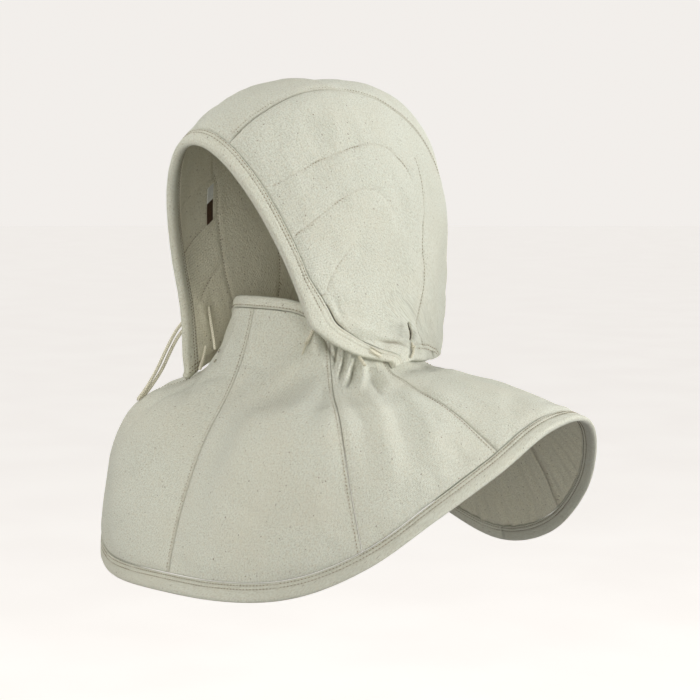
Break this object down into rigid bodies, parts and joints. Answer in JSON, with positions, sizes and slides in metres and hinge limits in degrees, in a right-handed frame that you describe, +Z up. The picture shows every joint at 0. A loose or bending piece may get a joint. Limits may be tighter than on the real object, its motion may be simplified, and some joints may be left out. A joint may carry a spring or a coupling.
{
  "type": "padded hood with collar",
  "caption": "Padded cloth hood with an open face, laced to a standing collar that spreads into a shoulder mantle with bound edges.",
  "frame": {"origin": "inner face of the crown, where the top of the wearer's head bears", "axes": "+Z up through the crown, -Y the way the wearer faces, +X to the wearer's left"},
  "size_m": [0.5078, 0.4849, 0.4981],
  "materials": {
    "canvas": "unbleached plain weave",
    "canvas_binding": "unbleached plain weave, double stitched",
    "cotton_cord": "flat braid",
    "label_tab": "woven tape",
    "label_patch": "matt brown"
  },
  "bodies": {
    "root": {"hood_left_panel": "canvas", "hood_right_panel": "canvas", "hood_centre_strip": "canvas", "face_binding": "canvas_binding", "mantle_front_left": "canvas", "mantle_shoulder_left": "canvas", "mantle_back_left": "canvas", "mantle_back_centre": "canvas", "mantle_back_right": "canvas", "mantle_shoulder_right": "canvas", "mantle_front_right": "canvas", "collar_binding": "canvas_binding", "mantle_binding": "canvas_binding", "label_tab": "label_tab", "label_patch": "label_patch", "lace_left_front": "cotton_cord", "lace_left_back": "cotton_cord", "lace_right_upper": "cotton_cord", "lace_right_lower": "cotton_cord", "tie_upper": "cotton_cord", "tie_lower": "cotton_cord"}
  },
  "joints": []
}
